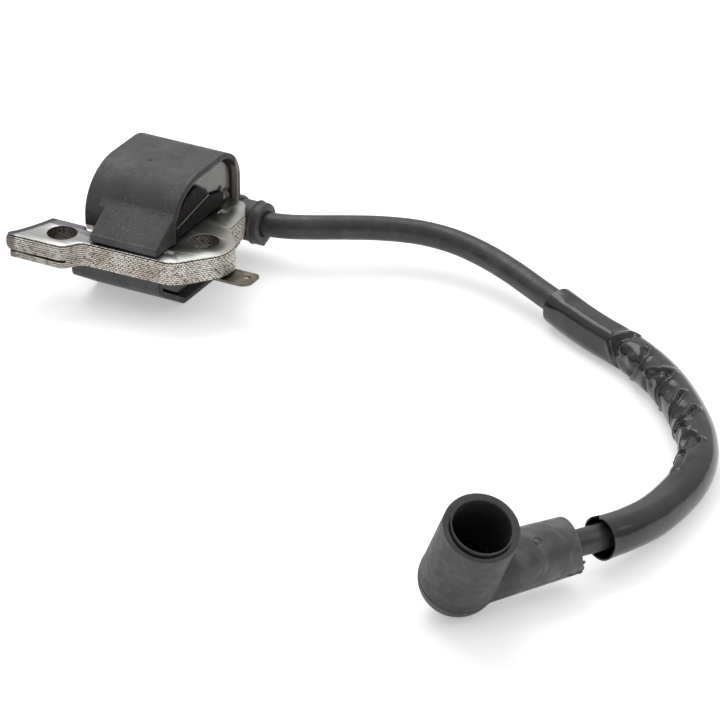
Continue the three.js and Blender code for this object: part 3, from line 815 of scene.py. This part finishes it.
def add_camera():
    azimuth = math.radians(CAMERA["azimuth"])
    elevation = math.radians(CAMERA["elevation"])
    flat = math.cos(elevation)
    back = Vector((math.sin(azimuth) * flat, -math.cos(azimuth) * flat, math.sin(elevation)))
    data = bpy.data.cameras.new("camera")
    data.lens = CAMERA_LENS
    data.sensor_width = 36
    camera = bpy.data.objects.new("camera", data)
    camera.location = Vector(CAMERA["target"]) + back * CAMERA["distance"]
    camera.rotation_euler = (math.pi / 2 - elevation, 0, azimuth)
    bpy.context.scene.collection.objects.link(camera)
    bpy.context.scene.camera = camera


# ---- lead, sleeve and boot ----


def make_lead():
    """The lead's jacket: a tube along the route, open at both ends for its conductor."""
    path = catmull_rom(np.array(LEAD_ROUTE) / MM, 12)
    outer = tube_rings(path, LEAD_R, 40)
    inner = tube_rings(path, LEAD_BORE_R, 40)
    vertices, faces = band(np.concatenate([outer, inner[::-1]]), closed=True)
    return mesh_of("lead", vertices, faces, "lead_rubber", "lead_jacket", mend=True), path


def fold_distance(along, around, points):
    """Distance in mm to a fold's line on the unrolled sleeve, and which side of it a place is on."""
    line = np.array([(s, math.radians(angle) * SLEEVE_R) for s, angle in points])
    nearest = np.full(along.shape, np.inf)
    side = np.zeros(along.shape)
    for (ax, ay), (bx, by) in zip(line, line[1:]):
        ex, ey = bx - ax, by - ay
        t = np.clip(((along - ax) * ex + (around - ay) * ey) / (ex * ex + ey * ey), 0, 1)
        dx, dy = along - ax - t * ex, around - ay - t * ey
        distance = np.hypot(dx, dy)
        closer = distance < nearest
        nearest = np.where(closer, distance, nearest)
        side = np.where(closer, np.sign(dx), side)
    return nearest, side


def soft_least(a, b, blend=0.1):
    """The smaller of two distances, with a soft change from one to the other."""
    least = np.minimum(a, b)
    return least - blend * np.log1p(np.exp(-np.abs(a - b) / blend))


def sleeve_radius(along, angle):
    """The creased sleeve's outer radius at places along it and angles round it."""
    degrees = np.degrees(angle)
    around = angle * SLEEVE_R
    radius = np.full(along.shape, SLEEVE_R - 0.02)
    turned = np.radians(np.interp(along, *FACET_TURN))
    for facet_at, depth in SLEEVE_FACETS:
        low = np.interp(along, [0, 5, 22, 27, 90, 100, 127], [0.1, depth, depth, 0, 0, 0.35, 0.1])
        facet = (SLEEVE_R - low) / np.maximum(np.cos(angle - turned - math.radians(facet_at)), 0.3)
        radius = soft_least(radius, facet)
    for depth, width, ridges, points in FOLDS:
        distance, side = fold_distance(along, around, points)
        radius -= depth * np.exp(-((distance / width) ** 1.6))
        towards = np.ones(side.shape) if ridges == 2 else side * ridges
        ridge = (towards * distance - 1.9 * width) / width
        radius += 0.5 * depth * np.exp(-(ridge**2)) * (distance < 6 * width)
    depth, s, a, long, wide = HOLLOW
    radius -= depth * np.exp(-((((along - s) / long) ** 2 + ((degrees - a) / wide) ** 2) ** 3))
    for depth, s, a, long, wide in DENTS:
        radius -= depth * np.exp(-(((along - s) / long) ** 2) - ((degrees - a) / wide) ** 2)
    radius += FLARE["height"] * np.exp((along - FLARE["end"]) / FLARE["length"])
    return np.clip(radius, LEAD_R + 0.55, SLEEVE_R + 0.4)


def make_sleeve():
    """The loose creased sleeve, hanging a little low at both its ends."""
    path = catmull_rom(np.array(LEAD_ROUTE)[SLEEVE_FIRST : SLEEVE_LAST + 1] / MM, 60)
    run = lengths(path)
    rings, around = SLEEVE_MESH
    angle = np.broadcast_to(np.arange(around) * 2 * math.pi / around, (rings, around))
    nick = NICK["depth"] * np.exp(-(((np.degrees(angle) - NICK["at"]) / NICK["width"]) ** 2))
    slant = 0.7 * np.sin(angle + 0.6)
    end = run[-1] - 0.7 - nick + slant * 0.6
    along = np.linspace(0, 1, rings)[:, None] * end
    low = np.interp(along, *SLEEVE_SAG)
    side, up = moving_frame(path)

    def at(values):
        return np.stack([np.interp(along, run, values[:, i]) for i in range(3)], axis=-1)

    radius = sleeve_radius(along, angle)
    across = np.cos(angle)[..., None] * at(side) + np.sin(angle)[..., None] * at(up)
    middle = at(path) - low[..., None] * np.array([0, 0, 1]) + SLEEVE_SHIFT * (at(side) + at(up))
    hollow = np.maximum(radius - SLEEVE_WALL, LEAD_R + 0.08)
    outer = middle + radius[..., None] * across
    inner = middle + hollow[..., None] * across
    outer[..., 2] = np.maximum(outer[..., 2], 0.04)
    inner[..., 2] = np.maximum(inner[..., 2], 0.3)
    vertices, faces = band(np.concatenate([outer, inner[::-1]]), closed=True)
    return mesh_of("sleeve", vertices, faces, "sleeve_plastic", "lead_sleeve", sharp=60, mend=True)


def on_boot(vertices):
    """Vertices moved from the boot's own directions, X along its neck and Z along its cup."""
    neck = BOOT_NECK / np.linalg.norm(BOOT_NECK)
    across = np.cross(BOOT_CUP, neck)
    across /= np.linalg.norm(across)
    return vertices @ np.array([neck, across, np.cross(neck, across)]) + BOOT_ELBOW


def boot_form(x, y, z):
    """The boot's dome, cup and neck together, without openings."""
    top_r = BOOT["dome_r"] - 0.1
    cup_r = top_r - (top_r - BOOT["cup_r"]) * z / BOOT["cup"]
    cup = meet(np.hypot(x, y) - cup_r, between(z, 0, BOOT["cup"]), 0.45)
    head = join(cup, ball(x, y, z, (0, 0, 0), BOOT["dome_r"]), 0.15)
    neck_r = BOOT["root_r"] - (BOOT["root_r"] - BOOT["end_r"]) * x / BOOT["neck"]
    neck = meet(np.hypot(y, z) - neck_r, between(x, 0, BOOT["neck"]), 0.7)
    return join(head, neck, 0.5)


def with_lip(body, x, y, z):
    """The boot with its bore, whose lip stands free on one side."""
    rim, bore_r = BOOT["cup"], BOOT["bore_r"]
    across = np.hypot(x, y)
    body = cut(body, meet(across - bore_r, between(z, -3, rim + 9), 0.8), 0.1)
    near = (LIP_SIDE[0] * x + LIP_SIDE[1] * y) / np.maximum(across, 1)
    off_axis = np.hypot(x - 0.45 * LIP_SIDE[0], y - 0.45 * LIP_SIDE[1])
    groove = meet(off_axis - bore_r - 0.45, between(z, rim - 0.9, rim + 9))
    body = cut(body, meet(groove, bore_r + 0.35 - across), 0.08)
    lip = meet(np.abs(across - bore_r - 0.17) - 0.2, z - rim - 0.1 - 0.6 * near, 0.1)
    return join(body, meet(lip, rim - 3 - z))


def with_flash(body, x, y, z):
    """The boot with the ragged rubber that its mould left at the end of the neck."""
    tube = np.hypot(y, z)
    ragged = 0.35 * np.sin(z * 2.6 + 0.5) + 0.12 * np.sin(z * 6.1)
    flash = meet(np.abs(tube - 6.05) - 0.22, between(x, 24.5, 26.6) - ragged, 0.1)
    body = join(body, meet(flash, meet(between(z, -1.9, 2.6), y + 3)), 0.1)
    fin = meet(tube - 6.6 - 0.12 * np.sin(x * 3), between(x, 22.6, 26.5), 0.1)
    return join(body, meet(meet(np.abs(z + 0.4) - 0.16, fin), y + 3), 0.1)


def make_boot():
    """The rubber boot, with its mould's parting line, ring mark and flash."""
    axes = x, y, z = samples((-8.5, -8.5, -8.5), (BOOT["neck"], 8.5, BOOT["cup"] + 0.8), 0.2)
    body = boot_form(x, y, z)
    seam = np.abs(z + 0.15) - 0.14
    body = cut(body, meet(np.abs(body) - 0.3, seam + 0 * x), 0.06)
    ring = np.hypot(np.hypot(x - 16.7, y) - 0.75, z - 6.55) - 0.28
    body = with_lip(cut(body, ring, 0.08), x, y, z)
    lead = meet(np.hypot(y, z) - LEAD_R - GAP, between(x, 0, BOOT["neck"] + 9))
    body = with_flash(cut(body, lead, 0.3), x, y, z)
    vertices, faces = skin(body, axes)
    return mesh_of("boot", on_boot(vertices), faces, "boot_rubber", "plug_boot", "boot", sharp=60)


def make_spring():
    """The contact spring in the boot's cup."""
    turn = np.linspace(0, SPRING["turns"], SPRING["turns"] * 36 + 1)
    angle = turn * 2 * math.pi
    height = SPRING["from"] + turn * SPRING["pitch"]
    path = np.stack([SPRING["r"] * np.cos(angle), SPRING["r"] * np.sin(angle), height], axis=1)
    rings = tube_rings(path, SPRING["wire_r"], 12)
    vertices, faces = band(rings, closed=False)
    last = len(vertices) - 12
    faces += [tuple(range(12)), tuple(range(last, last + 12))]
    return mesh_of("spring", on_boot(vertices), faces, "spring_steel", "boot_spring", "boot", mend=True)


def add_cord():
    """The lead with what is on it."""
    lead, path = make_lead()
    on_it = [make_sleeve(), make_boot(), make_spring(), "lead_conductor"]


# ---- coil ----


def with_burr(outline, sheet):
    """The outline with the bare leg's tip drawn out, most of all halfway up from the slot."""
    if sheet <= SHORT_SHEET:
        return outline
    rise = (sheet - SHORT_SHEET) / (SHEETS - SHORT_SHEET)
    tip = outline[np.argmin(outline[:, 0] + outline[:, 1])]
    away = np.linalg.norm(outline - tip, axis=1)
    drawn = TIP_BURR * math.sin(math.pi * rise) ** 0.6 * np.exp(-((away / 1.6) ** 2))
    return outline - np.stack([drawn, 0.3 * drawn], axis=1)


def short_outline(outline):
    """The outline of the sheet whose bare leg ends early, with a slightly torn end."""
    tip = (outline[:, 0] < SHORT_SHEET_END) & (outline[:, 1] < -10)
    first = np.argmax(tip & ~np.roll(tip, 1))
    turned = np.roll(outline, -first, axis=0)
    rest = turned[tip.sum() :]
    torn_y = np.linspace(rest[-1][1], rest[0][1], 16)[1:-1]
    torn_x = SHORT_SHEET_END + 0.15 * np.sin(torn_y * 2.3) - 0.1 * np.sin(torn_y * 5.1)
    return np.concatenate([rest, np.stack([torn_x, torn_y], axis=1)])


def dimples():
    """The two punched dimples of the top sheet, each deeper towards the front."""
    made = []
    for x, y, half_x, half_y in DIMPLES:
        corners = [(-1, -1), (1, -1), (1, 1), (-1, 1)]
        loop = rounded([(x + a * half_x, y + b * half_y, 0.3) for a, b in corners], 15)
        made.append((loop, lambda u, v, y=y, half=half_y: DIMPLE_DEPTH - DIMPLE_TILT * (v - y) / half))
    return made


def make_core():
    """The stacked laminations, each with fine rounded edges and its own slight offset."""
    chance = np.random.default_rng(12)
    for sheet in range(SHEETS):
        low = CORE_BOTTOM + sheet * SHEET_PITCH
        high = low + SHEET_THICKNESS
        if sheet == SHEETS - 1:
            low += TOP_SHEET_GAP
        outline = with_burr(core_outline(), sheet)
        holes = [circle(x, y, SCREW_HOLE_R, 64) for x, y in SCREW_HOLES]
        if sheet == SHORT_SHEET:
            outline = short_outline(outline)
            holes = holes[1:]
        levels = [(0.08, low), (0.025, low + 0.025), (0, low + 0.08)]
        levels += [(0, high - 0.05), (0.015, high - 0.015), (0.05, high)]
        recesses = dimples() if sheet == SHEETS - 1 else []
        vertices, faces, kinds = plate(outline, holes, levels, recesses)
        vertices = np.array(vertices)
        vertices[:, :2] += chance.uniform(-SHEET_SHIFT, SHEET_SHIFT, 2)
        number = f"{sheet + 1:02d}"
        name, node = f"core_sheet_{number}", f"core_lamination_{number}"
        made = mesh_of(name, vertices, faces, "core_steel", node, sharp=30, mend=True)
        made.data.materials.append(LOOKS["steel_edge"])
        if recesses:
            # The dimples' floors get the bright punched steel, which is partly a painted highlight.
            made.data.materials.append(LOOKS["steel_punched"])
        made.data.polygons.foreach_set("material_index", kinds)


def core_space(x, y, z):
    return meet(outline_distance(core_outline(), x, y) - GAP, between(z, 10.7, 17.2))


def apron_shape(x, y, z):
    """The sloping apron over the core, with a bead along its foot."""
    apron = meet(outline_distance(APRON, y, z), between(x, -8.8, 9.3), 0.15)
    bead = meet(np.hypot(y + 21.1, z - 18.95) - 0.24, between(x, -8.7, 9.2))
    return join(apron, bead, 0.1)


def leg_slot(axes):
    """The slot between the core's legs at the housing's left end, narrower further in."""
    low = (-20, -14.2, 11)
    return join(box(axes, low, (-12.6, -5.7, 17)), box(axes, low, (-9.5, -12.4, 17)))


def make_housing():
    """The moulded housing: dome, sump, apron and high-tension outlet, open at its right end."""
    axes = x, y, z = samples((-14.7, -21.4, 0), (9.5, 26.2, 30.7), 0.2)
    left, rim, wall = HOUSING["left"], HOUSING["rim"], HOUSING["wall"]
    section = outline_distance(housing_section(), y, z)
    body = meet(section, between(x, left, rim), 0.3)
    body = join(body, apron_shape(x, y, z), 0.15)
    body = join(body, meet(outline_distance(APRON_STRIP, y, z), between(x, -10.6, rim), 0.12), 0.1)
    from_outlet = np.hypot(y - OUTLET["y"], z - OUTLET["z"])
    outlet = meet(from_outlet - OUTLET["r"], between(x, OUTLET["left"], OUTLET["right"]), 0.6)
    body = join(body, outlet, 0.8)
    body = cut(body, meet(section + wall, between(x, left + wall, rim + 9), 0.4), 0.3)
    body = cut(body, core_space(x, y, z), 0.12)
    body = cut(body, meet(from_outlet - LEAD_R - GAP, between(x, -3.9, 20)), 0.1)
    body = cut(body, meet(from_outlet - GLAND["body_r"] - GAP, between(x, OUTLET["right"], 20)), 0.1)
    terminal_notch = box(axes, (7.1, -18.1, 9.2), (20, -13.3, 11))
    body = cut(cut(body, terminal_notch, 0.1), leg_slot(axes), 0.15)
    body = cut(body, box(axes, (-4.9, 10.1, 8.7), (-3.3, 20.75, 10.3)))  # for the contact
    body = cut(body, ball(x, y, z, HOUSING_PIT, 0.42), 0.08)
    mesh_of("housing", *skin(body, axes), "housing_plastic", "housing_shell", sharp=60)


def make_resin():
    """The resin that fills the housing, shrunk from its back wall."""
    axes = x, y, z = samples((-13.3, -19, 1), (8.6, 16.4, 29.6), 0.22)
    section = outline_distance(housing_section(), y + 0.28, z)
    body = meet(section + HOUSING["wall"] + 0.5, between(x, -13.1, RESIN_FACE), 0.2)
    body = cut(body, core_space(x, y, z), 0.1)
    coil = block_distance(y, z, (WOUND_LEG_Y, COIL_Z), (10.4, 9.4), 1)
    body = cut(body, meet(coil, between(x, -12.2, 7.2)), 0.1)
    body = cut(body, box(axes, (-11.5, -6.6, 22.6), (5.4, 9.6, 28.6)))  # for the circuit board
    body = cut(body, meet(outline_distance(inset(HEAD_BLOCK, -0.06), y, z), between(x, 5.8, 12)), 0.12)
    body = cut(body, meet(outline_distance(RIB, y, z) - 0.06, between(x, 5.8, 12)), 0.1)
    body = cut(body, box(axes, (7.1, -18.1, 7.4), (12, -13.3, 10.8)))  # for the terminal's foot
    body = join(body, meet(outline_distance(RESIN_LEDGE, y, z), between(x, 6.6, 8.6), 0.1))
    for drip_y, drip_z, r in RESIN_DRIPS:
        body = cut(body, ball(x, y, z, (RESIN_FACE, drip_y, drip_z), r), 0.25)
    mesh_of("resin", *skin(body, axes), "potting_resin", "potting_resin", sharp=60)


def make_bobbin():
    """The primary bobbin: tube, two flanges, and the head block with its rib at the open end."""
    axes = x, y, z = samples((-12, -11.7, 4.7), (9.2, 11.2, 27.2), 0.25)
    middle = (WOUND_LEG_Y, COIL_Z)
    tube = meet(block_distance(y, z, middle, (5.6, 4.1), 1), between(x, -12, 7))
    flange = block_distance(y, z, middle, (10.3, 9.3), 1)
    ends = join(meet(flange, between(x, -12, -10.9), 0.2), meet(flange, between(x, 5.9, 7), 0.2))
    body = cut(join(tube, ends), meet(block_distance(y, z, middle, (4.8, 3.3), 0.5), between(x, -20, 20)))
    head = meet(outline_distance(HEAD_BLOCK, y, z), between(x, 6.4, 8.4), 0.2)
    rib = meet(outline_distance(RIB, y, z), between(x, 6.4, 8.7), 0.12)
    body = cut(join(join(body, head), rib), core_space(x, y, z))
    mesh_of("bobbin", *skin(body, axes), "bobbin_plastic", "primary_bobbin", sharp=50)


def make_terminal():
    """The stop terminal's blade, cranked shank and foot, with worn edges."""
    axes = x, y, z = samples((7.4, -17.8, 7.7), (28, -5.5, 10.5), 0.13)
    body = meet(outline_distance(rounded(TERMINAL), x, y), between(z, 9.7, 10.5), 0.14)
    foot = box(axes, (7.4, -17.8, 7.7), (8.2, -13.6, 10.5))
    body = join(body, foot, 0.1)
    hole = np.hypot((x - 25.5) / 1.2, y + 8.0) - 0.75
    body = cut(body, hole + 0 * z, 0.16)
    bead = meet(np.hypot(y + 8.7, (z - 10.62) * 1.2) - 0.22, between(x, 19.4, 23.6), 0.1)
    body = cut(body, bead, 0.05)
    mesh_of("terminal", *skin(body, axes), "terminal_plate", "stop_terminal", sharp=50)


def make_gland():
    """The gland: a plain body, a collar with a fine raised edge, and a pointed lug below."""
    axes = x, y, z = samples((8.4, 14.5, 3.6), (14.9, 25.2, 14.7), 0.14)
    from_lead = np.hypot(y - OUTLET["y"], z - OUTLET["z"])
    body = meet(from_lead - GLAND["body_r"], between(x, GLAND["left"], GLAND["right"]), 0.2)
    collar = meet(from_lead - GLAND["collar_r"] + 0.12, between(x, GLAND["collar_left"], GLAND["right"]), 0.5)
    body = join(body, collar, 0.25)
    edge = np.hypot(from_lead - GLAND["collar_r"] - 0.05, x - 12.6) - 0.22
    body = join(body, edge, 0.08)
    lug = meet(outline_distance(GLAND_LUG, y, z), between(x, 12.3, 14.8), 0.3)
    body = join(body, lug, 0.3)
    body = cut(body, from_lead - LEAD_R - 0.12 + 0 * x, 0.35)
    body = cut(body, core_space(x, y, z))
    mesh_of("gland", *skin(body, axes), "gland_plastic", "lead_gland", sharp=60)


def finish_kept_nodes():
    for look, names in KEPT_NODES.items():
        for name in names:
            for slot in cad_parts[name].material_slots:
                slot.material = LOOKS[look]


# ---- stage ----


def add_floor():
    """A wide pale floor just under the object."""
    size, height = 6.0, -0.00004
    corners = [(a * size, b * size, height) for a, b in ((-1, -1), (1, -1), (1, 1), (-1, 1))]
    mesh = bpy.data.meshes.new("floor")
    mesh.from_pydata(corners, [], [(0, 1, 2, 3)])
    glow = {"Emission_Color": (1, 1, 1, 1), "Emission_Strength": 0.38}
    look = Look("floor", (0.87, 0.87, 0.87), 0.75, Specular_IOR_Level=0.2, **glow)
    cloud = look.blotches(3, 2, 0.3, 0.7)
    look.color(look.mix(cloud, (0.865, 0.865, 0.865), (0.875, 0.873, 0.868)))
    mesh.materials.append(look.material)
    floor = bpy.data.objects.new("floor", mesh)
    bpy.context.scene.collection.objects.link(floor)


def add_world():
    """Soft studio light: bright above and behind, darker on the camera's side."""
    world = bpy.data.worlds.new("studio")
    world.use_nodes = True
    tree = world.node_tree
    shade = tree.nodes["Background"]
    place = tree.nodes.new("ShaderNodeTexCoord")
    towards = tree.nodes.new("ShaderNodeVectorMath")
    towards.operation = "DOT_PRODUCT"
    towards.inputs[1].default_value = Vector((-0.15, 0.3, 0.94)).normalized()
    level = tree.nodes.new("ShaderNodeMapRange")
    level.interpolation_type = "SMOOTHSTEP"
    for key, value in {"From Min": -0.2, "From Max": 1.0, "To Min": 0.3, "To Max": 0.95}.items():
        level.inputs[key].default_value = value
    tree.links.new(place.outputs["Generated"], towards.inputs[0])
    tree.links.new(towards.outputs["Value"], level.inputs["Value"])
    tree.links.new(level.outputs["Result"], shade.inputs["Strength"])
    shade.inputs["Color"].default_value = (1, 1, 1, 1)
    bpy.context.scene.world = world


def add_lamp(name, place, size, power):
    data = bpy.data.lights.new(name, "AREA")
    data.shape = "SQUARE"
    data.size = size
    data.energy = power
    lamp = bpy.data.objects.new(name, data)
    lamp.location = place
    lamp.rotation_euler = (LAMP_TARGET - Vector(place)).to_track_quat("-Z", "Y").to_euler()
    bpy.context.scene.collection.objects.link(lamp)


def add_lights():
    add_lamp("key", (-0.5, 0.45, 1.1), 0.8, 5.4)
    add_lamp("side", (0.9, 0.35, 0.7), 0.6, 1.2)


add_camera()
add_cord()
make_core()
make_housing()
make_resin()
make_bobbin()
make_terminal()
make_gland()
finish_kept_nodes()
add_floor()
add_world()
add_lights()
bpy.context.scene.view_settings.view_transform = "Standard"
